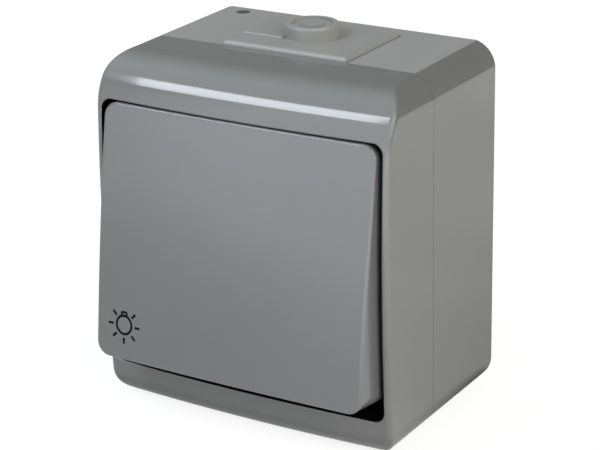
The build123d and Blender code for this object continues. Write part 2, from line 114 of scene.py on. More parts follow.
class Pattern(Enum):
    """Shifts that give each noise pattern a place of its own."""

    FIRST = 0.0
    PEEL = 1.3
    PITS = 2.4
    SPECK = 3.1
    BLOOM = 4.2
    GRAIN = 5.9
    TARNISH = 6.6
    SMEAR = 7.7
    # Shift of the noise that mottles the recess's painted shade.
    DUST = 8.4
    RUB = 9.2


class Sock:
    """A node's output that can be used in Python expressions, adding Math nodes as it goes."""

    def __init__(self, graph: "Graph", socket: bpy.types.NodeSocket) -> None:
        """Keeps the socket and the graph that its followers are added to."""
        self.graph = graph
        self.socket = socket

    def math(self, operation: str, *others: "Operand") -> "Sock":
        """Adds a Math node with this value first and takes its result."""
        return self.graph.add("ShaderNodeMath", dict(enumerate((self, *others))), operation=operation)

    def __add__(self, other: "Operand") -> "Sock":
        """Sum."""
        return self.math("ADD", other)

    __radd__ = __add__

    def __mul__(self, other: "Operand") -> "Sock":
        """Product."""
        return self.math("MULTIPLY", other)

    __rmul__ = __mul__

    def __sub__(self, other: "Operand") -> "Sock":
        """Difference."""
        return self.math("SUBTRACT", other)

    def __rsub__(self, other: "Operand") -> "Sock":
        """Difference from a number."""
        return self.graph.add("ShaderNodeMath", {0: other, 1: self}, operation="SUBTRACT")

    def __gt__(self, other: "Operand") -> "Sock":
        """One where this is greater, else zero."""
        return self.math("GREATER_THAN", other)

    def highest(self, other: "Operand") -> "Sock":
        """The greater of two values."""
        return self.math("MAXIMUM", other)

    def ramp(self, low: Number, high: Number) -> "Sock":
        """Smooth step from zero at low to one at high.

        Args:
            low: Value that gives zero.
            high: Value that gives one.

        Returns:
            The stepped value.
        """
        inputs = {"Value": self, "From Min": low, "From Max": high}
        return self.graph.add("ShaderNodeMapRange", inputs, interpolation_type="SMOOTHSTEP")

    def part(self, axis: str) -> "Sock":
        """One component of a vector, by its letter."""
        return self.graph.add("ShaderNodeSeparateXYZ", {"Vector": self}, axis)


Operand = Union[Sock, Number]
Value = Union[Sock, Number, str, Sequence[float], bpy.types.ID]
Inputs = Mapping[Union[str, int], Value]


class Graph:
    """A node tree under construction."""

    MIX_COLOURS: ClassVar[tuple[int, int]] = (6, 7)
    MIX_RESULT: ClassVar[int] = 2

    def __init__(self, tree: bpy.types.NodeTree) -> None:
        """Starts on an emptied node tree."""
        self.tree = tree
        tree.nodes.clear()

    def node(self, kind: str, inputs: Optional[Inputs] = None, **settings: Any) -> bpy.types.Node:
        """Adds any node.

        Args:
            kind: The node's type name.
            inputs: Values or links of its sockets, by name or number.
            settings: The node's own settings, set first.

        Returns:
            The node.
        """
        node = self.tree.nodes.new(kind)
        for name, setting in settings.items():
            setattr(node, name, setting)
        for key, value in (inputs or {}).items():
            self.feed(node.inputs[key], value)
        return node

    def feed(self, target: bpy.types.NodeSocket, value: Value) -> None:
        """Links or sets a node's input.

        Args:
            target: The input.
            value: Another node's output, or a plain value.
        """
        if isinstance(value, Sock):
            self.tree.links.new(value.socket, target)
        else:
            target.default_value = value

    def add(self, kind: str, inputs: Optional[Inputs] = None, output: Union[str, int] = 0,
            **settings: Any) -> Sock:
        """Adds any node and takes one of its outputs, by name or number, as a value for expressions."""
        return Sock(self, self.node(kind, inputs, **settings).outputs[output])

    def blend(self, share: Operand, first: Value, second: Value) -> Sock:
        """Mixes two colours.

        Args:
            share: Share of the second colour.
            first: Colour at a share of zero.
            second: Colour at a share of one.

        Returns:
            The mixed colour.
        """
        colours = [colour if isinstance(colour, Sock) else (*colour, 1.0) for colour in (first, second)]
        inputs = {0: share, **dict(zip(self.MIX_COLOURS, colours))}
        return self.add("ShaderNodeMix", inputs, self.MIX_RESULT, data_type="RGBA")

    def varied(self, share: Operand, colour: Colour, low: float, high: float) -> Sock:
        """A colour that a pattern makes darker or lighter, between two factors."""
        return self.blend(share, shade(colour, low), shade(colour, high))

    def tinted(self, level: Sock, tint: Colour) -> Sock:
        """A tint made brighter or darker by a varying level, as a colour."""
        return self.add("ShaderNodeVectorMath", {0: tint, "Scale": level}, operation="SCALE")


class Surface(Graph):
    """A material's node tree on a Principled shader, with its patterns on Object coordinates."""

    def __init__(self, name: str) -> None:
        """Makes the material and its shader.

        Args:
            name: The material's name.
        """
        self.material = bpy.data.materials.new(name)
        self.material.use_nodes = True
        super().__init__(self.material.node_tree)
        self.shader = self.node("ShaderNodeBsdfPrincipled")
        self.output = self.node("ShaderNodeOutputMaterial")
        self.tree.links.new(self.shader.outputs["BSDF"], self.output.inputs["Surface"])
        self.place = self.add("ShaderNodeTexCoord", output="Object")

    def noise(self, scale: float, detail: float = 2.0, stretch: Triple = EVEN,
              pattern: Pattern = Pattern.FIRST) -> Sock:
        """Fractal noise around its middle.

        Args:
            scale: Features per metre.
            detail: Octaves.
            stretch: Scale of the pattern along X, Y and Z.
            pattern: Shift that gives a pattern of its own.

        Returns:
            The noise value.
        """
        inputs = {"Vector": self.place, "Location": (pattern.value,) * 3, "Scale": stretch}
        mapped = self.add("ShaderNodeMapping", inputs)
        return self.add("ShaderNodeTexNoise", {"Vector": mapped, "Scale": scale, "Detail": detail})

    def bump(self, height: Sock, distance: float, under: Optional[Sock] = None) -> Sock:
        """Raises a pattern as a normal.

        Args:
            height: Pattern from zero to one.
            distance: Height of one in metres.
            under: Normal of a coarser pattern below.

        Returns:
            The bumped normal.
        """
        inputs: dict[Union[str, int], Value] = {"Height": height, "Distance": distance, "Strength": 1.0}
        if under is not None:
            inputs["Normal"] = under
        return self.add("ShaderNodeBump", inputs)

    def gap_to_box(self, sides: Mapping[str, tuple[float, float]]) -> Sock:
        """Distance to a box that is given by its ends along some of the axes.

        Args:
            sides: The box's two ends along each axis, by the axis' letter.

        Returns:
            The distance in metres, zero in the box.
        """
        squares = []
        for axis, (start, end) in sides.items():
            offset = (self.place.part(axis) - (start + end) / 2).math("ABSOLUTE")
            gap = (offset - (end - start) / 2).highest(0.0)
            squares.append(gap * gap)
        first, *others = squares
        return sum(others, first).math("SQRT")

    def show(self, shader: Sock) -> bpy.types.Material:
        """Puts another shader in the Principled shader's place, for the stage.

        Args:
            shader: The shader to show.

        Returns:
            The finished material.
        """
        self.tree.nodes.remove(self.shader)
        self.tree.links.new(shader.socket, self.output.inputs["Surface"])
        return self.material


def shade(colour: Colour, factor: float) -> Colour:
    """A colour made darker or lighter by a factor."""
    red, green, blue = (min(1.0, channel * factor) for channel in colour)
    return red, green, blue


Coat = dict[str, Value]


class Finish(ABC):
    """A surface finish that can be made into a material."""

    @abstractmethod
    def coat(self, surface: Surface) -> Coat:
        """What the shader's sockets take, by their names."""

    def make(self, name: str) -> bpy.types.Material:
        """Builds the material.

        Args:
            name: The material's name.

        Returns:
            The material.
        """
        surface = Surface(name)
        for socket, value in self.coat(surface).items():
            surface.feed(surface.shader.inputs[socket], value)
        return surface.material


@dataclass(frozen=True)
class MouldedPlastic(Finish):
    """Injection-moulded plastic: slightly mottled colour, faint orange peel and fine handling haze."""

    colour: Colour
    roughness: float = 0.09
    gloss: float = 0.55
    mottle: float = 0.035
    mottle_scale: float = 70.0
    speck_scale: float = 3800.0
    speck_band: Band = (0.62, 0.8)
    speck_shade: float = 0.6
    speck_share: float = 0.10
    haze: float = 0.03
    haze_scale: float = 900.0
    haze_stretch: Triple = (1.0, 1.0, 0.16)
    peel_scale: float = 260.0
    peel_height: float = 1.6e-6
    grain_scale: float = 5200.0
    grain_height: float = 0.25e-6

    def coat(self, surface: Surface) -> Coat:
        """Works out the plastic's patterns.

        Args:
            surface: Material under construction.

        Returns:
            What the shader's sockets take, by their names.
        """
        cloud = surface.noise(self.mottle_scale, 3.0)
        speck = surface.noise(self.speck_scale, pattern=Pattern.SPECK).ramp(*self.speck_band)
        mottled = surface.varied(cloud, self.colour, 1 - self.mottle, 1 + self.mottle)
        mottled = surface.blend(speck * self.speck_share, mottled, shade(self.colour, self.speck_shade))
        smear = surface.noise(self.haze_scale, 4.0, self.haze_stretch, Pattern.SMEAR)
        peel = surface.bump(surface.noise(self.peel_scale, 1.0, pattern=Pattern.PEEL), self.peel_height)
        grain = surface.noise(self.grain_scale, pattern=Pattern.GRAIN)
        return {"Base Color": mottled, "Roughness": self.roughness + (smear - NOISE_MIDDLE) * self.haze,
                "Normal": surface.bump(grain, self.grain_height, peel), "Specular IOR Level": self.gloss}


@dataclass(frozen=True)
class TexturedTop(MouldedPlastic):
    """Moulded plastic whose flat top is spark-eroded: lighter, matte and finely grained."""

    top_colour: Colour = (0.285, 0.285, 0.282)
    top_low: float = 36.40 * MM
    top_high: float = 36.47 * MM
    top_roughness: float = 0.5
    pit_scale: float = 2400.0
    pit_height: float = 12e-6
    pit_contrast: float = 0.1
    pit_haze: float = 0.16
    rub_scale: float = 150.0
    rub_band: Band = (0.5, 0.75)
    rub_shade: float = 1.12
    rub_share: float = 0.35

    def coat(self, surface: Surface) -> Coat:
        """Works out the smooth plastic's patterns and those of the textured top.

        Args:
            surface: Material under construction.

        Returns:
            What the shader's sockets take, by their names.
        """
        smooth = super().coat(surface)
        texture = surface.place.part("Z").ramp(self.top_low, self.top_high)
        pits = surface.noise(self.pit_scale, 3.0, pattern=Pattern.PITS)
        rubbed = surface.noise(self.rub_scale, 3.0, pattern=Pattern.RUB).ramp(*self.rub_band)
        top = surface.varied(pits, self.top_colour, 1 - self.pit_contrast, 1 + self.pit_contrast)
        top = surface.blend(rubbed * self.rub_share, top, shade(self.top_colour, self.rub_shade))
        matte = self.top_roughness + (pits - NOISE_MIDDLE) * self.pit_haze
        rough = smooth["Roughness"]
        return {**smooth, "Base Color": surface.blend(texture, smooth["Base Color"], top),
                "Roughness": rough + (matte - rough) * texture,
                "Normal": surface.bump(pits * texture, self.pit_height, smooth["Normal"])}


@dataclass(frozen=True)
class RecessShadedFront(MouldedPlastic):
    """Moulded plastic with painted shade in the recess round the key: its walls are painted near-black and
    dull.
    """

    half_width: float = 31.64 * MM
    low: float = -28.34 * MM
    high: float = 27.84 * MM
    corner_radius: float = 2.24 * MM
    edge: float = 0.03 * MM
    # Painted shade of the recess walls: their colour as a share of the plastic's, mottled by a noise.
    recess_shade_level: float = 0.02
    shade_mottle_gain: float = 1.6
    shade_mottle_scale: float = 420.0
    dullness: float = 0.9

    def coat(self, surface: Surface) -> Coat:
        """Works out the plastic's patterns and paints shade into the recess; a dark Metallic takes the
        plastic's sheen away there.

        Args:
            surface: Material under construction.

        Returns:
            What the shader's sockets take, by their names.
        """
        smooth = super().coat(surface)
        inset = self.corner_radius
        gap = surface.gap_to_box({"X": (inset - self.half_width, self.half_width - inset),
                                  "Z": (self.low + inset, self.high - inset)})
        # Painted shade: the recess walls are coloured near-black, and a dark Metallic takes their sheen
        # away.
        recess = gap.ramp(inset + self.edge, inset)
        recess_shade_mottle = surface.noise(self.shade_mottle_scale, 4.0, pattern=Pattern.DUST)
        painted_recess_shade = surface.varied(recess_shade_mottle, self.colour, self.recess_shade_level, self.recess_shade_level * self.shade_mottle_gain)
        return {**smooth, "Base Color": surface.blend(recess, smooth["Base Color"], painted_recess_shade),
                "Roughness": smooth["Roughness"] + recess * self.dullness, "Metallic": recess}


@dataclass(frozen=True)
class SoftMoulding(MouldedPlastic):
    """Softer moulded plastic of the cable entry: satin, with faint flow lines round its boss."""

    boss_place: Triple = (0.0, -15.0 * MM, 37.0 * MM)
    flow_spacing: float = 0.9 * MM
    flow_height: float = 2.0e-6
    flow_waver: float = 1.5

    def coat(self, surface: Surface) -> Coat:
        """Works out the plastic's patterns and its flow lines.

        Args:
            surface: Material under construction.

        Returns:
            What the shader's sockets take, by their names.
        """
        plain = super().coat(surface)
        inputs = {"Vector": surface.place, "Location": tuple(-place for place in self.boss_place)}
        centred = surface.add("ShaderNodeMapping", inputs)
        rings = surface.add("ShaderNodeTexWave", {
            "Vector": centred, "Scale": 1 / (self.flow_spacing * WAVE_STEPS), "Distortion": self.flow_waver,
            "Detail": 2.0}, wave_type="RINGS", rings_direction="Z")
        return {**plain, "Normal": surface.bump(rings, self.flow_height, plain["Normal"])}


@dataclass(frozen=True)
class PatchedFinish(Finish):
    """A grained surface with patches of another colour on it."""

    PATCHES: ClassVar[Pattern]
    METALLIC: ClassVar[float]

    colour: Colour
    patch_colour: Colour
    roughness: float
    grain_scale: float
    grain_stretch: Triple
    grain_height: float
    patch_share: float
    patch_scale: float
    patch_band: Band
    patch_haze: float
    grain_shades: Band
    grain_haze: float = 0.0
    gloss: float = 0.5

    def coat(self, surface: Surface) -> Coat:
        """Works out the grain and the patches.

        Args:
            surface: Material under construction.

        Returns:
            What the shader's sockets take, by their names.
        """
        grain = surface.noise(self.grain_scale, 3.0, self.grain_stretch)
        patches = surface.noise(self.patch_scale, 4.0, pattern=self.PATCHES).ramp(*self.patch_band)
        grained = surface.varied(grain, self.colour, *self.grain_shades)
        haze = (grain - NOISE_MIDDLE) * self.grain_haze + patches * self.patch_haze
        return {"Base Color": surface.blend(patches * self.patch_share, grained, self.patch_colour),
                "Metallic": self.METALLIC, "Roughness": self.roughness + haze,
                "Normal": surface.bump(grain, self.grain_height), "Specular IOR Level": self.gloss}


@dataclass(frozen=True)
class Rubber(PatchedFinish):
    """Moulded rubber: near-matte, with a fine grain and a pale bloom."""

    PATCHES: ClassVar[Pattern] = Pattern.BLOOM
    METALLIC: ClassVar[float] = 0.0

    roughness: float = 0.62
    grain_scale: float = 1900.0
    grain_stretch: Triple = EVEN
    grain_height: float = 8e-6
    patch_share: float = 0.3
    patch_scale: float = 160.0
    patch_band: Band = (0.45, 0.75)
    patch_haze: float = 0.12
    grain_shades: Band = (0.85, 1.15)
    gloss: float = 0.35


@dataclass(frozen=True)
class WorkedMetal(PatchedFinish):
    """Bare or plated metal with drawn or turned tool lines and patches of tarnish."""

    PATCHES: ClassVar[Pattern] = Pattern.TARNISH
    METALLIC: ClassVar[float] = 1.0

    grain_height: float = 1.5e-6
    patch_share: float = 0.35
    patch_scale: float = 210.0
    patch_band: Band = (0.48, 0.72)
    patch_haze: float = 0.08
    grain_shades: Band = (0.88, 1.08)
    grain_haze: float = 0.14


@dataclass(frozen=True)
class PrintedInk(Finish):
    """Pad-printed ink: near-black, a little uneven, with a soft sheen."""

    colour: Colour
    thin: Colour
    roughness: float = 0.7
    gloss: float = 0.06
    cover_scale: float = 4200.0
    thin_band: Band = (0.55, 0.8)
    haze: float = 0.15
    film_height: float = 1.0e-6

    def coat(self, surface: Surface) -> Coat:
        """Works out the ink's patterns.

        Args:
            surface: Material under construction.

        Returns:
            What the shader's sockets take, by their names.
        """
        cover = surface.noise(self.cover_scale, 3.0)
        return {"Base Color": surface.blend(cover.ramp(*self.thin_band), self.colour, self.thin),
                "Roughness": self.roughness + (cover - NOISE_MIDDLE) * self.haze,
                "Normal": surface.bump(cover, self.film_height), "Specular IOR Level": self.gloss}


CASE_GREY: Colour = (0.178, 0.182, 0.180)
KEY_GREY: Colour = (0.167, 0.172, 0.177)
ENTRY_GREY: Colour = (0.305, 0.309, 0.305)
ALONG_Y = (1.0, 0.05, 1.0)
ALONG_X = (0.05, 1.0, 1.0)


class Makes(Enum):
    """The finishes of this switch, by what they are on."""

    FRAME = RecessShadedFront(CASE_GREY)
    BOX = TexturedTop(CASE_GREY)
    KEY = MouldedPlastic(KEY_GREY, roughness=0.1)
    ENTRY = SoftMoulding(ENTRY_GREY, roughness=0.34, gloss=0.45, peel_height=3e-6)
    SEAL = Rubber((0.028, 0.028, 0.03), (0.09, 0.09, 0.092))
    MEMBRANE = Rubber((0.05, 0.052, 0.055), (0.13, 0.13, 0.13), roughness=0.55)
    HOUSING = MouldedPlastic((0.62, 0.61, 0.57), roughness=0.32, gloss=0.45, peel_height=3e-6)
    PLUNGER = MouldedPlastic((0.62, 0.12, 0.08), roughness=0.34, gloss=0.45)
    SCREW = WorkedMetal((0.60, 0.61, 0.63), (0.42, 0.40, 0.36), 0.28, 1400.0, ALONG_Y)
    SPRING = WorkedMetal((0.52, 0.52, 0.53), (0.25, 0.23, 0.21), 0.24, 2600.0, (1.0, 1.0, 0.2), 0.8e-6)
    COPPER = WorkedMetal((0.84, 0.46, 0.30), (0.42, 0.19, 0.11), 0.26, 1800.0, ALONG_X)
    BRASS = WorkedMetal((0.80, 0.60, 0.28), (0.42, 0.29, 0.13), 0.25, 1500.0, ALONG_Y)
    SILVER = WorkedMetal((0.86, 0.85, 0.82), (0.38, 0.35, 0.30), 0.22, 2200.0, EVEN, 0.8e-6, 0.25)
    INK = PrintedInk((0.0025, 0.0025, 0.003), (0.008, 0.008, 0.009))

    def material(self) -> bpy.types.Material:
        """The finish's material, made the first time that it is asked for."""
        name = f"finish_{self.name.lower()}"
        return bpy.data.materials.get(name) or self.value.make(name)


def add_object(name: str, data: bpy.types.ID) -> bpy.types.Object:
    """Makes an object from its data and links it to the scene.

    Args:
        name: The object's name.
        data: Its mesh, light or camera.

    Returns:
        The object.
    """
    made = bpy.data.objects.new(name, data)
    bpy.context.scene.collection.objects.link(made)
    return made


class Weave(Graph):
    """A Geometry Nodes tree with named inputs, ending in Realize Instances and Set Material."""

    KINDS = {float: "NodeSocketFloat", int: "NodeSocketInt", tuple: "NodeSocketVector"}

    def __init__(self, name: str, sizes: Mapping[str, Union[Number, Triple]]) -> None:
        """Makes the tree and its inputs.

        Args:
            name: The tree's name.
            sizes: Named lengths, whole numbers and places.
        """
        super().__init__(bpy.data.node_groups.new(name, "GeometryNodeTree"))
        self.values = dict(sizes)
        sockets = {key: self.KINDS[type(value)] for key, value in sizes.items()}
        sockets["Material"] = "NodeSocketMaterial"
        self.ids = {key: self.tree.interface.new_socket(key, in_out="INPUT", socket_type=kind).identifier
                    for key, kind in sockets.items()}
        self.tree.interface.new_socket("Geometry", in_out="OUTPUT", socket_type="NodeSocketGeometry")
        self.start = self.node("NodeGroupInput")

    def input(self, name: str) -> Sock:
        """A named input as a value."""
        return Sock(self, self.start.outputs[name])

    def vector(self, x: Operand = 0.0, y: Operand = 0.0, z: Operand = 0.0) -> Sock:
        """A vector from three numbers or values."""
        return self.add("ShaderNodeCombineXYZ", {"X": x, "Y": y, "Z": z})

    def helix(self, radius: str, start: Value) -> Sock:
        """A helix that runs into the wall, with the tree's own Steps, Turns and Length.

        Args:
            radius: Name of the input that holds its radius.
            start: Where its axis starts.

        Returns:
            The helix as a curve.
        """
        coil = self.add("GeometryNodeCurveSpiral", {
            "Resolution": self.input("Steps"), "Rotations": self.input("Turns"),
            "Start Radius": self.input(radius), "End Radius": self.input(radius),
            "Height": self.input("Length")})
        inputs = {"Geometry": coil, "Translation": start, "Rotation": INTO_WALL}
        return self.add("GeometryNodeTransform", inputs)

    def tube(self, curve: Sock, radius: Operand, sides: int) -> Sock:
        """A round stroke along a curve.

        Args:
            curve: Path.
            radius: Stroke radius.
            sides: Sides of the round profile.

        Returns:
            The stroke's mesh.
        """
        round_inputs = {"Resolution": sides, "Radius": radius}
        profile = self.add("GeometryNodeCurvePrimitiveCircle", round_inputs, "Curve")
        inputs = {"Curve": curve, "Profile Curve": profile, "Fill Caps": True}
        return self.add("GeometryNodeCurveToMesh", inputs)

    def close(self, parts: Sequence[Sock]) -> None:
        """Joins the parts and ends the tree in Realize Instances and Set Material.

        Args:
            parts: Meshes or instances.
        """
        join = self.node("GeometryNodeJoinGeometry")
        for part in parts:
            self.tree.links.new(part.socket, join.inputs["Geometry"])
        real = self.add("GeometryNodeRealizeInstances", {"Geometry": Sock(self, join.outputs[0])})
        inputs = {"Geometry": real, "Material": self.input("Material")}
        dressed = self.add("GeometryNodeSetMaterial", inputs)
        self.node("NodeGroupOutput", {"Geometry": dressed})

    def mesh(self, finish: Makes) -> bpy.types.Mesh:
        """Runs the tree once and keeps its result as a plain mesh.

        Args:
            finish: Finish of the whole mesh.

        Returns:
            The mesh.
        """
        carrier = add_object(self.tree.name, bpy.data.meshes.new(self.tree.name))
        modifier = carrier.modifiers.new(self.tree.name, "NODES")
        modifier.node_group = self.tree
        for key, value in self.values.items():
            modifier[self.ids[key]] = value
        modifier[self.ids["Material"]] = finish.material()
        evaluated = carrier.evaluated_get(bpy.context.evaluated_depsgraph_get())
        mesh = bpy.data.meshes.new_from_object(evaluated)
        carrier.modifiers.remove(modifier)
        bpy.data.objects.remove(carrier)
        return mesh


def add_piece(name: str, mesh: bpy.types.Mesh, body: str) -> bpy.types.Object:
    """Links a finished mesh as a piece of the switch.

    Args:
        name: The piece's name.
        mesh: Its mesh, in place.
        body: The moving body that it rides on.

    Returns:
        The piece's object.
    """
    mesh.name = name
    piece = add_object(name, mesh)
    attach(piece, body)
    LOG.info("%s: %d faces on %s", name, len(mesh.polygons), body)
    return piece


@dataclass(frozen=True)
class ScrewThreads:
    """Rolled threads on a pair of screws that stand square to the wall."""

    node: str
    x: float
    z: float
    shank_radius: float
    pitch: float
    depth: float = 0.16 * MM
    head_height: float = 2.2 * MM
    run_out: float = 0.9 * MM
    point: float = 0.5 * MM
    steps_per_turn: int = 28
    crest_sides: int = 4

    def roll(self) -> bpy.types.Object:
        """Winds one thread and sets it on both screws.

        Returns:
            The pair of threads.
        """
        low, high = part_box(self.node)
        start, end = low.y + self.head_height + self.run_out, high.y - self.point
        turns = (end - start) / self.pitch
        weave = Weave(f"{self.node}_threads", {
            "First Screw": (-self.x, start, -self.z), "Step": (2 * self.x, 0.0, 2 * self.z), "Screws": 2,
            "Shank Radius": self.shank_radius, "Turns": turns, "Length": end - start, "Depth": self.depth,
            "Steps": self.steps_per_turn})
        helix = weave.helix("Shank Radius", (0.0, 0.0, 0.0))
        crest = weave.tube(helix, weave.input("Depth"), self.crest_sides)
        places = weave.add("GeometryNodeMeshLine", {
            "Count": weave.input("Screws"), "Start Location": weave.input("First Screw"),
            "Offset": weave.input("Step")})
        weave.close([weave.add("GeometryNodeInstanceOnPoints", {"Points": places, "Instance": crest})])
        return add_piece(f"{self.node}_threads", weave.mesh(Makes.SCREW), "case")


def travel(joint: str) -> float:
    """How far a sliding joint goes from rest."""
    return next(row["range_m"][1] for row in frame["joints"] if row["name"] == joint)


@dataclass
class ReturnSpring:
    """Coil spring under the plunger, wound at its rest length."""

    coil_radius: float = 2.6 * MM
    wire_radius: float = 0.3 * MM
    turns: float = 5.0
    steps_per_turn: int = 40
    wire_sides: int = 14

    def wind(self) -> bpy.types.Object:
        """Winds the spring between its seats.

        Returns:
            The spring.
        """
        low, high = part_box("return_spring")
        start, end = low.y + self.wire_radius, high.y - self.wire_radius
        weave = Weave("return_spring_coil", {
            "Coil Radius": self.coil_radius, "Wire Radius": self.wire_radius, "Turns": self.turns,
            "Length": end - start, "Seat": (0.0, start, 0.0), "Steps": self.steps_per_turn})
        helix = weave.helix("Coil Radius", weave.input("Seat"))
        weave.close([weave.tube(helix, weave.input("Wire Radius"), self.wire_sides)])
        spring = add_piece("return_spring_coil", weave.mesh(Makes.SPRING), "case")
        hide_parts("return_spring")
        shorter = travel("plunger_slide") / (high.y - low.y)
        1 - shorter
        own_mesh(spring)
        return spring


Outline = Sequence[tuple[float, float]]


def turned(outline: Outline, steps: int, ring: bool) -> bpy.types.Mesh:
    """Turns an outline about the Y axis.

    Args:
        outline: Points as radius and depth.
        steps: Steps round the axis.
        ring: Whether the outline closes on itself; otherwise it starts and ends on the axis.

    Returns:
        The closed mesh, smooth but for its corners.
    """
    shape = bmesh.new()
    turns = [2 * math.pi * step / steps for step in range(steps)]
    rows = []
    for radius, depth in outline:
        spots = [(radius * math.cos(turn), -depth, radius * math.sin(turn)) for turn in turns]
        row = [shape.verts.new(spot) for spot in (spots if radius else spots[:1])]
        rows.append(row if radius else row * steps)
    followers = rows[1:] + rows[:1] if ring else rows[1:]
    for row, after in zip(rows, followers):
        for step in range(steps):
            corners = (row[step - 1], row[step], after[step], after[step - 1])
            shape.faces.new(list(dict.fromkeys(corners)))
    bmesh.ops.recalc_face_normals(shape, faces=shape.faces)
    mesh = bpy.data.meshes.new("turned")
    shape.to_mesh(mesh)
    shape.free()
    mesh.shade_smooth()
    mesh.set_sharp_from_angle(angle=SHARP_ANGLE)
    return mesh


@dataclass
class Diaphragm:
    """Rubber diaphragm between key and plunger: lips in the frame's window, a slanted web and a button."""

    window_radius: float = 11.0 * MM
    fit: float = 0.05 * MM
    lip_reach: float = 1.6 * MM
    lip_thickness: float = 1.0 * MM
    web_thickness: float = 1.0 * MM
    web_rise: float = 4.0 * MM
    web_rings: int = 10
    button_radius: float = 4.5 * MM
    button_front: float = 4.0 * MM
    button_back: float = 1.7 * MM
    edge_radius: float = 0.6 * MM
    edge_steps: int = 6
    steps: int = 96

    def mould(self) -> None:
        """Makes the lips, the web and the button."""
        low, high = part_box("membrane")
        front, back = -low.y, -high.y
        floor_front, floor_back = front - self.button_front, back + self.button_back
        waist, lip = self.window_radius - self.fit, self.window_radius + self.lip_reach
        root = waist - self.lip_thickness
        lip_back, lip_front = floor_back - self.lip_thickness, floor_front + self.lip_thickness
        self.add("membrane_lips", turned([
            (root, lip_back), (lip, lip_back), (lip, floor_back), (waist, floor_back), (waist, floor_front),
            (lip, floor_front), (lip, lip_front), (root, lip_front)], self.steps, ring=True))
        slope = self.web_rise / (root - self.button_radius)
        thickness = self.web_thickness * math.hypot(1.0, slope)
        span = self.button_radius - root
        radii = [root + span * step / self.web_rings for step in range(self.web_rings + 1)]
        under = [(radius, lip_back + (root - radius) * slope) for radius in radii]
        over = [(radius, depth + thickness) for radius, depth in reversed(under)]
        web = self.add("membrane_web", turned(under + over, self.steps, ring=True))
        corner = [math.pi / 2 * step / self.edge_steps for step in range(self.edge_steps + 1)]
        inner = self.button_radius - self.edge_radius
        edge = [(inner + self.edge_radius * math.cos(turn), front - self.edge_radius * (1 - math.sin(turn)))
                for turn in corner]
        outline = [(0.0, back), (self.button_radius, back), *edge, (0.0, front)]
        button = self.add("membrane_button", turned(outline, self.steps, ring=False))
        shorter = travel("plunger_slide") / (front - back)
        self.give_way(button, back, shorter)
        seat = lip_back + thickness / 2
        moved = (lip_back + self.web_rise + thickness / 2 - back) * shorter
        self.give_way(web, seat, moved / self.web_rise)

    @staticmethod
    def add(name: str, mesh: bpy.types.Mesh) -> bpy.types.Object:
        """Adds one of the diaphragm's pieces.

        Args:
            name: The piece's name.
            mesh: Its mesh, in place.

        Returns:
            The piece's object.
        """
        mesh.materials.append(Makes.MEMBRANE.material())
        piece = add_piece(name, mesh, "case")
        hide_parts("membrane")
        return piece

    @staticmethod
    def give_way(piece: bpy.types.Object, seat: float, shorter: float) -> None:
        """Gives a piece its own copy of its mesh."""
        -seat
        1 - shorter
        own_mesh(piece)


class SubAssembly:
    """Model pieces that belong together, with their finishes and the pieces that the looks add to them."""

    FINISHES: ClassVar[Mapping[str, Makes]] = {}
    THREADS: ClassVar[tuple[ScrewThreads, ...]] = ()

    def build(self) -> None:
        """Rolls the threads of its screws."""
        for threads in self.THREADS:
            threads.roll()

    def dress(self) -> None:
        """Gives each model piece its finish."""
        for node, finish in self.FINISHES.items():
            for slot in frame["nodes"][node].material_slots:
                slot.material = finish.material()
            LOG.info("%s: finish %s", node, finish.name.lower())


class Case(SubAssembly):
    """Back box, front frame, cable entry and gasket, with the two screws that hold the frame."""

    FINISHES: ClassVar[Mapping[str, Makes]] = {
        "base_box": Makes.BOX, "front_frame": Makes.FRAME, "cable_entry": Makes.ENTRY,
        "frame_gasket": Makes.SEAL, "frame_screws": Makes.SCREW}
    THREADS: ClassVar[tuple[ScrewThreads, ...]] = (
        ScrewThreads("frame_screws", x=-25.5 * MM, z=11.0 * MM, shank_radius=1.45 * MM, pitch=1.0 * MM),)


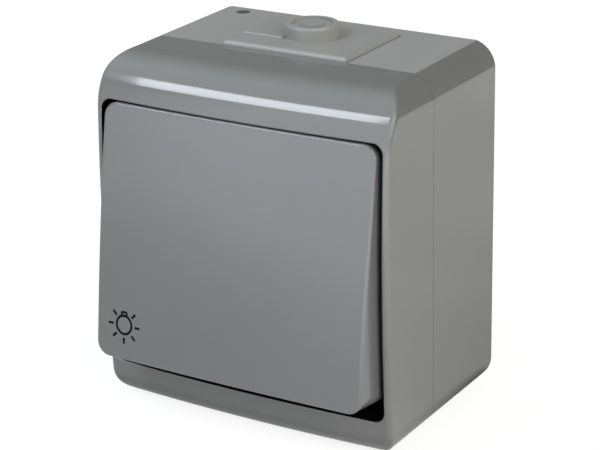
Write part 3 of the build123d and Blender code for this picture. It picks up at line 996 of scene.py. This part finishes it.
@dataclass
class PushKey(SubAssembly):
    """The key with its printed light-bulb sign, and the membrane behind it."""

    sign_centre: Triple = (-23.75 * MM, -50.41 * MM, -16.65 * MM)
    lean: float = math.radians(8.0)
    bulb_radius: float = 1.82 * MM
    bulb_rise: float = 0.11 * MM
    bulb_stretch: float = 1.05
    cap_width: float = 1.24 * MM
    cap_height: float = 0.80 * MM
    cap_middle: float = 2.36 * MM
    cap_round: float = 0.34 * MM
    ray_start: float = 2.60 * MM
    ray_length: float = 1.25 * MM
    ray_places: int = 8
    stroke_radius: float = 0.255 * MM
    ink_height: float = 0.02 * MM
    ink_lift: float = 0.6
    print_reach: float = 5.0 * MM
    stroke_sides: int = 10
    bulb_steps: int = 64
    cap_round_steps: int = 6
    cap_place: float = 0.9

    FINISHES: ClassVar[Mapping[str, Makes]] = {"key": Makes.KEY}

    def build(self) -> None:
        """Prints the sign and moulds the diaphragm."""
        self.print_sign(frame["nodes"]["key"])
        Diaphragm().mould()

    def draw_sign(self) -> bpy.types.Mesh:
        """Draws the sign flat, with X to its right and Y to its top: a bulb with its cap and rays round it.

        Returns:
            The sign's strokes as round tubes.
        """
        weave = Weave("lamp_sign", {
            "Bulb Radius": self.bulb_radius, "Bulb Rise": self.bulb_rise, "Cap Width": self.cap_width,
            "Cap Height": self.cap_height, "Cap Middle": self.cap_middle, "Cap Round": self.cap_round,
            "Ray Start": self.ray_start, "Ray Length": self.ray_length, "Stroke Radius": self.stroke_radius,
            "Ray Places": self.ray_places})
        ring = weave.add("GeometryNodeCurvePrimitiveCircle", {
            "Resolution": self.bulb_steps, "Radius": weave.input("Bulb Radius")}, "Curve")
        bulb = weave.add("GeometryNodeTransform", {
            "Geometry": ring, "Translation": weave.vector(y=weave.input("Bulb Rise")),
            "Scale": (1.0, self.bulb_stretch, 1.0)})
        box = weave.add("GeometryNodeCurvePrimitiveQuadrilateral", {
            "Width": weave.input("Cap Width"), "Height": weave.input("Cap Height")})
        rounded = weave.add("GeometryNodeFilletCurve", {
            "Curve": box, "Count": self.cap_round_steps, "Radius": weave.input("Cap Round")}, mode="POLY")
        cap = weave.add("GeometryNodeTransform", {
            "Geometry": rounded, "Translation": weave.vector(y=weave.input("Cap Middle"))})
        rays = self.draw_rays(weave)
        stroke = weave.input("Stroke Radius")
        weave.close([weave.tube(curve, stroke, self.stroke_sides) for curve in (bulb, cap, rays)])
        return weave.mesh(Makes.INK)

    def draw_rays(self, weave: Weave) -> Sock:
        """Sets rays round the bulb, apart from the place of its cap.

        Args:
            weave: The sign's tree.

        Returns:
            The rays' lines.
        """
        places = weave.add("GeometryNodeMeshCircle", {
            "Vertices": weave.input("Ray Places"), "Radius": weave.input("Ray Start")})
        place = weave.add("GeometryNodeInputPosition")
        on_top = place.part("Y") > weave.input("Ray Start") * self.cap_place
        inputs = {"Geometry": places, "Selection": on_top}
        sides = weave.add("GeometryNodeDeleteGeometry", inputs, domain="POINT")
        inputs = {"Direction": (1.0, 0.0, 0.0), "Length": weave.input("Ray Length")}
        line = weave.add("GeometryNodeCurvePrimitiveLine", inputs, mode="DIRECTION")
        outward = weave.add("FunctionNodeAlignRotationToVector", {"Vector": place}, axis="X")
        rays = weave.add("GeometryNodeInstanceOnPoints", {
            "Points": sides, "Instance": line, "Rotation": outward})
        return weave.add("GeometryNodeRealizeInstances", {"Geometry": rays})

    def print_sign(self, key: bpy.types.Object) -> bpy.types.Object:
        """Lays the sign on the key's front as a thin film of ink.

        Args:
            key: The key's object.

        Returns:
            The printed sign.
        """
        mesh = self.draw_sign()
        across = Vector((1.0, 0.0, 0.0))
        upward = Vector((0.0, math.sin(self.lean), math.cos(self.lean)))
        outward = Vector((0.0, -math.cos(self.lean), math.sin(self.lean)))
        front = BVHTree.FromObject(key, bpy.context.evaluated_depsgraph_get())
        above = Vector(self.sign_centre) + outward * self.print_reach
        for vertex in mesh.vertices:
            spot = front.ray_cast(above + across * vertex.co.x + upward * vertex.co.y, -outward)[0]
            height = vertex.co.z / self.stroke_radius + self.ink_lift
            vertex.co = spot + outward * (height * self.ink_height / 2)
        mesh.update()
        return add_piece("lamp_sign", mesh, "key")


class Mechanism(SubAssembly):
    """Contact housing with its plunger, springs, contacts, terminals and screws."""

    FINISHES: ClassVar[Mapping[str, Makes]] = {
        "mechanism_body": Makes.HOUSING, "mechanism_cover": Makes.HOUSING, "mechanism_screws": Makes.SCREW,
        "plunger": Makes.PLUNGER, "bridge_clip": Makes.SPRING, "contact_spring": Makes.SPRING,
        "contact_bridge": Makes.COPPER, "bridge_contacts": Makes.SILVER, "fixed_contacts": Makes.SILVER,
        "fixed_strip_left": Makes.COPPER, "fixed_strip_right": Makes.COPPER,
        "terminal_block_left": Makes.BRASS, "terminal_block_right": Makes.BRASS,
        "terminal_screws": Makes.SCREW}
    THREADS: ClassVar[tuple[ScrewThreads, ...]] = (
        ScrewThreads("mechanism_screws", x=0.0, z=15.5 * MM, shank_radius=1.45 * MM, pitch=1.0 * MM),
        ScrewThreads("terminal_screws", x=17.8 * MM, z=0.0, shank_radius=1.75 * MM, pitch=0.6 * MM,
                     depth=0.11 * MM, run_out=0.15 * MM))

    def build(self) -> None:
        """Winds the return spring and rolls the screws' threads."""
        ReturnSpring().wind()
        super().build()


@dataclass
class SoftLight:
    """A rectangular soft light aimed at the switch."""

    name: str
    azimuth: float
    elevation: float
    distance: float
    width: float
    height: float
    radiance: float
    colour: Colour
    roll: float = 0.0
    in_gloss: bool = True

    def hang(self) -> bpy.types.Object:
        """Makes the light.

        Returns:
            The light's object.
        """
        data = bpy.data.lights.new(self.name, "AREA")
        data.shape = "RECTANGLE"
        data.size, data.size_y = self.width, self.height
        data.color = self.colour
        data.energy = math.pi * self.width * self.height * self.radiance
        light = add_object(self.name, data)
        turn, rise = math.radians(self.azimuth), math.radians(self.elevation)
        towards = Vector((math.sin(turn) * math.cos(rise), -math.cos(turn) * math.cos(rise), math.sin(rise)))
        aim = towards.to_track_quat("Z", "Y").to_matrix().to_4x4()
        middle = (cad_box[0] + cad_box[1]) / 2
        light.matrix_world = (Matrix.Translation(middle + towards * self.distance) @ aim
                              @ Matrix.Rotation(math.radians(self.roll), 4, "Z"))
        light.visible_camera = False
        light.visible_glossy = self.in_gloss
        LOG.info("%s: radiance %.1f", self.name, self.radiance)
        return light


COOL: Colour = (0.93, 0.99, 1.05)
WARM: Colour = (1.03, 1.0, 0.92)
PLAIN: Colour = (1.0, 1.0, 1.0)


@dataclass(frozen=True)
class Pool:
    """A soft-edged pool of painted light on the floor, or of painted shadow where its strength is negative,
    which reflections show.
    """

    x: float
    y: float
    core: float
    reach: float
    strength: float

    def level(self, surface: Surface) -> Sock:
        """Its brightness on the floor's material."""
        across, along = surface.place.part("X") - self.x, surface.place.part("Y") - self.y
        return (across * across + along * along).math("SQRT").ramp(self.reach, self.core) * self.strength


@dataclass(frozen=True)
class Card(ABC):
    """A flat studio card that only reflections show, by its left front and right back corners."""

    name: str
    low: Triple
    high: Triple
    tint: Colour = PLAIN

    @abstractmethod
    def level(self, surface: Surface) -> Sock:
        """Its brightness on its material."""

    def hang(self) -> bpy.types.Object:
        """Makes the card glow, in reflections alone.

        Returns:
            The card's object.
        """
        card = stage_sheet(self.name, self.low, self.high)
        surface = Surface(self.name)
        shown = surface.tinted(self.level(surface), self.tint)
        glow = surface.add("ShaderNodeEmission", {"Color": shown})
        card.data.materials.append(surface.show(glow))
        for kind in ("camera", "diffuse", "transmission", "shadow", "volume_scatter"):
            setattr(card, f"visible_{kind}", False)
        return card


@dataclass(frozen=True)
class FrontCard(Card):
    """Bright card in front, fading into the room at its edges."""

    name: str = "front_card"
    low: Triple = (-1.1, -0.95, FLOOR_LEVEL)
    high: Triple = (1.1, -0.95, 1.3)
    tint: Colour = COOL
    fade: float = 0.55
    room: float = 1.0
    gain: float = 1.6
    base_gain: float = 0.55
    base_height: float = 0.3

    def level(self, surface: Surface) -> Sock:
        """Brightest in the middle and at the floor.

        Args:
            surface: The card's material under construction.

        Returns:
            Its brightness.
        """
        x, z = surface.place.part("X"), surface.place.part("Z")
        (left, *_), (right, _, top) = self.low, self.high
        inside = x.ramp(left, left + self.fade) * x.ramp(right, right - self.fade)
        upper = z.ramp(top, top - self.fade) * self.gain
        base = z.ramp(self.base_height, 0.0) * self.base_gain
        return self.room + inside * (upper + base)


@dataclass(frozen=True)
class BackCard(Card):
    """Dark card behind, brighter towards its top and its left."""

    name: str = "back_card"
    low: Triple = (-1.7, 0.35, FLOOR_LEVEL)
    high: Triple = (1.1, 0.35, 1.15)
    dark: float = 0.06
    left_gain: float = 0.2
    left_band: Band = (-0.1, 0.3)
    top_gain: float = 1.15
    top_start: float = 0.3

    def level(self, surface: Surface) -> Sock:
        """Dark low down and on the right.

        Args:
            surface: The card's material under construction.

        Returns:
            Its brightness.
        """
        to_left = (surface.place.part("X") * -1.0).ramp(*self.left_band)
        *_, top = self.high
        rise = surface.place.part("Z").ramp(self.top_start, top)
        return (self.dark + to_left * self.left_gain) * (1.0 - rise) + rise * self.top_gain


@dataclass(frozen=True)
class CeilingCard(Card):
    """Bright card overhead, dimmer towards the back."""

    name: str = "ceiling_card"
    low: Triple = (-1.7, -0.95, 1.15)
    high: Triple = (1.1, 0.35, 1.15)
    tint: Colour = COOL
    back_level: float = 1.15
    gain: float = 0.75
    full_from: float = -0.05

    def level(self, surface: Surface) -> Sock:
        """Brightest overhead and in front."""
        _, back, _ = self.high
        return self.back_level + surface.place.part("Y").ramp(back, self.full_from) * self.gain


def stage_sheet(name: str, low: Triple, high: Triple) -> bpy.types.Object:
    """Makes a flat four-cornered stage piece, upright or level.

    Args:
        name: Its name.
        low: Its left front corner, or its lower left one.
        high: Its right back corner, or its upper right one.

    Returns:
        The staged object.
    """
    (left, front, bottom), (right, back, top) = low, high
    corners = [(left, front, bottom), (right, front, bottom), (right, back, top), (left, back, top)]
    mesh = bpy.data.meshes.new(name)
    mesh.from_pydata(corners, [], [(0, 1, 2, 3)])
    sheet = add_object(name, mesh)
    LOG.info("%s: staged", name)
    return sheet


@dataclass
class Studio:
    """Camera, pale floor, soft lights and cards."""

    camera_place: Triple = (205.83 * MM, -355.49 * MM, 148.42 * MM)
    camera_right: Triple = (0.85526, 0.51784, -0.01958)
    camera_ahead: Triple = (-0.49011, 0.79605, -0.35511)
    focal_pixels: float = 2074.0
    nearest_seen: float = 10.0 * MM
    floor_drop: float = 0.1 * MM
    floor_reach: float = 4.0
    floor_colour: Colour = (0.78, 0.78, 0.78)
    floor_white: float = 0.85
    fade_start: float = 0.35
    fade_end: float = 1.4
    floor_catch: Colour = (0.25, 0.25, 0.25)
    # Painted contact shadow, seen only in reflections: the floor darkens to contact_dark within
    # contact_reach of the switch's footprint.
    key_overhang: float = 8.0 * MM
    contact_reach: float = 7.0 * MM
    contact_dark: float = 0.42
    sky_low: float = 0.2
    sky_high: float = 0.22

    # Painted pools of light on the floor, and painted shadows where the strength is negative; reflections
    # alone show them.
    POOLS: ClassVar[tuple[Pool, ...]] = (
        Pool(0.75, -1.72, 1.54, 1.81, 1.7),
        Pool(0.22, -0.18, 0.08, 0.30, 1.5),
        Pool(-0.014, -0.264, 0.05, 0.16, 0.2),
        Pool(0.14, 0.042, 0.075, 0.125, 0.29),
        Pool(0.05, 0.003, 0.015, 0.047, -0.24),
        Pool(0.052, 0.06, 0.002, 0.051, -0.21),
        Pool(0.034, 0.08, 0.06, 0.15, -0.43),
    )
    CARDS: ClassVar[tuple[Card, ...]] = (FrontCard(), BackCard(), CeilingCard())
    LIGHTS: ClassVar[tuple[SoftLight, ...]] = (
        SoftLight("strip_light", -42.55, 44.3, 0.9, 0.327, 0.208, 10.0, COOL, roll=29.0),
        SoftLight("front_light", -37.0, 30.0, 0.9, 0.4, 0.3, 3.0, COOL, in_gloss=False),
        SoftLight("top_light", -92.0, 58.0, 0.9, 0.9, 0.44, 0.7, COOL, in_gloss=False),
        SoftLight("right_fill", 72.0, 30.0, 1.0, 0.9, 0.9, 2.75, WARM),
        SoftLight("back_fill", 170.0, 30.0, 1.0, 0.8, 0.8, 0.75, PLAIN, in_gloss=False),
    )

    def shoot(self) -> None:
        """Makes everything round the switch."""
        self.set_camera()
        self.lay_floor()
        for light in self.LIGHTS:
            light.hang()
        for card in self.CARDS:
            card.hang()
        self.fill_sky()
        bpy.context.scene.view_settings.view_transform = "Standard"

    def set_camera(self) -> None:
        """Places the camera at the photograph's viewing angle."""
        data = bpy.data.cameras.new("camera")
        data.sensor_width = SENSOR_WIDTH_MM
        data.lens = self.focal_pixels * SENSOR_WIDTH_MM / IMAGE_WIDTH
        data.clip_start = self.nearest_seen
        camera = add_object("camera", data)
        right, ahead = Vector(self.camera_right), Vector(self.camera_ahead)
        axes = Matrix((right, right.cross(ahead), -ahead)).transposed().to_4x4()
        camera.matrix_world = Matrix.Translation(self.camera_place) @ axes
        bpy.context.scene.camera = camera
        LOG.info("camera: lens %.1f mm", data.lens)

    @staticmethod
    def seen_plainly(graph: Graph) -> Sock:
        """Finds the rays that show a stage surface as plain white.

        Args:
            graph: The surface's tree.

        Returns:
            One for those rays, else zero.
        """
        path = graph.node("ShaderNodeLightPath")
        camera, glossy, through = (Sock(graph, path.outputs[ray.value]) for ray in Ray)
        return camera.highest(glossy).highest(through)

    def lay_floor(self) -> None:
        """Lays a plain pale floor, white to the camera; to reflections it is brighter in painted pools of
        light and darker in painted shadows near and behind the switch.
        """
        level, reach = FLOOR_LEVEL - self.floor_drop, self.floor_reach
        floor = stage_sheet("floor", (-reach, -reach, level), (reach, reach, level))
        surface = Surface("floor_paper")
        direct = surface.add("ShaderNodeLightPath", output=Ray.CAMERA.value)
        low, high = cad_box
        # Painted contact shadow for reflections: darker near the switch's footprint.
        gap = surface.gap_to_box({"X": (low.x, high.x), "Y": (low.y + self.key_overhang, high.y)})
        painted_contact_shadow = self.contact_dark + gap.ramp(0.0, self.contact_reach) * (1 - self.contact_dark)
        # Painted pools of light, and painted shadows where a pool's strength is negative.
        first, *others = [pool.level(surface) for pool in self.POOLS]
        pools = sum(others, first)
        far = surface.gap_to_box({"X": (0.0, 0.0), "Y": (0.0, 0.0)}).ramp(self.fade_start, self.fade_end)
        plain = self.floor_white + far * (1 - self.floor_white)
        lit = plain * direct + (self.floor_white * painted_contact_shadow + pools) * (1 - direct)
        white = surface.add("ShaderNodeEmission", {"Color": surface.tinted(lit, PLAIN)})
        catch = surface.add("ShaderNodeBsdfDiffuse", {"Color": (*self.floor_catch, 1.0)})
        shown = surface.add("ShaderNodeAddShader", {0: white, 1: catch})
        paper = surface.add("ShaderNodeBsdfDiffuse", {"Color": (*self.floor_colour, 1.0)})
        mixed = surface.add("ShaderNodeMixShader", {0: self.seen_plainly(surface), 1: paper, 2: shown})
        floor.data.materials.append(surface.show(mixed))

    def fill_sky(self) -> None:
        """Fills the sky: white where it is seen, and a weak soft light from above elsewhere."""
        world = bpy.data.worlds.new("sky")
        world.use_nodes = True
        bpy.context.scene.world = world
        graph = Graph(world.node_tree)
        height = graph.add("ShaderNodeTexCoord", output="Generated").part("Z")
        level = self.sky_low + height.ramp(0.0, 1.0) * (self.sky_high - self.sky_low)
        shown = level + (1.0 - level) * self.seen_plainly(graph)
        sky = graph.add("ShaderNodeBackground", {"Color": graph.tinted(shown, PLAIN)})
        graph.node("ShaderNodeOutputWorld", {"Surface": sky})


def main() -> None:
    """Builds and dresses the sub-assemblies and sets up the studio."""
    logging.basicConfig(level=logging.INFO, format="%(name)s: %(message)s")
    for assembly in (Case(), PushKey(), Mechanism()):
        assembly.build()
        assembly.dress()
    Studio().shoot()


if __name__ == "__main__":
    main()
